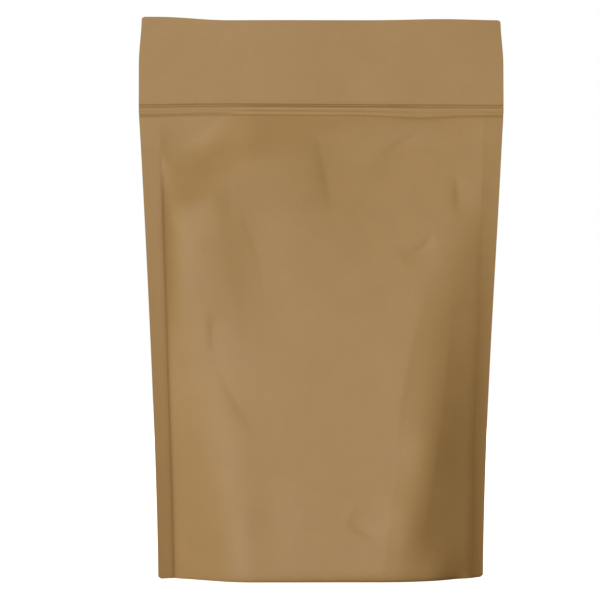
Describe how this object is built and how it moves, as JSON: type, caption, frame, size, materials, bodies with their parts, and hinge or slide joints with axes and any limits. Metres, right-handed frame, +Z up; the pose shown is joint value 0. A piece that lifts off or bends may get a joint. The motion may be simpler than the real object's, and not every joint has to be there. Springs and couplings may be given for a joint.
{
  "type": "bag of rice",
  "caption": "Shut kraft stand-up pouch of rice: flat header over a press-to-close zip, sealed side fins, and a body that deepens to the bottom gusset it stands on.",
  "frame": {"origin": "middle of the base, on the floor that the pouch stands on", "axes": "+Z up, -Y out of the front panel, +X to the right as seen from the front"},
  "size_m": [0.2, 0.0622, 0.308],
  "materials": {
    "kraft_paper": "matte kraft paper laminate, unprinted"
  },
  "bodies": {
    "root": {"pouch": "kraft_paper"}
  },
  "joints": []
}
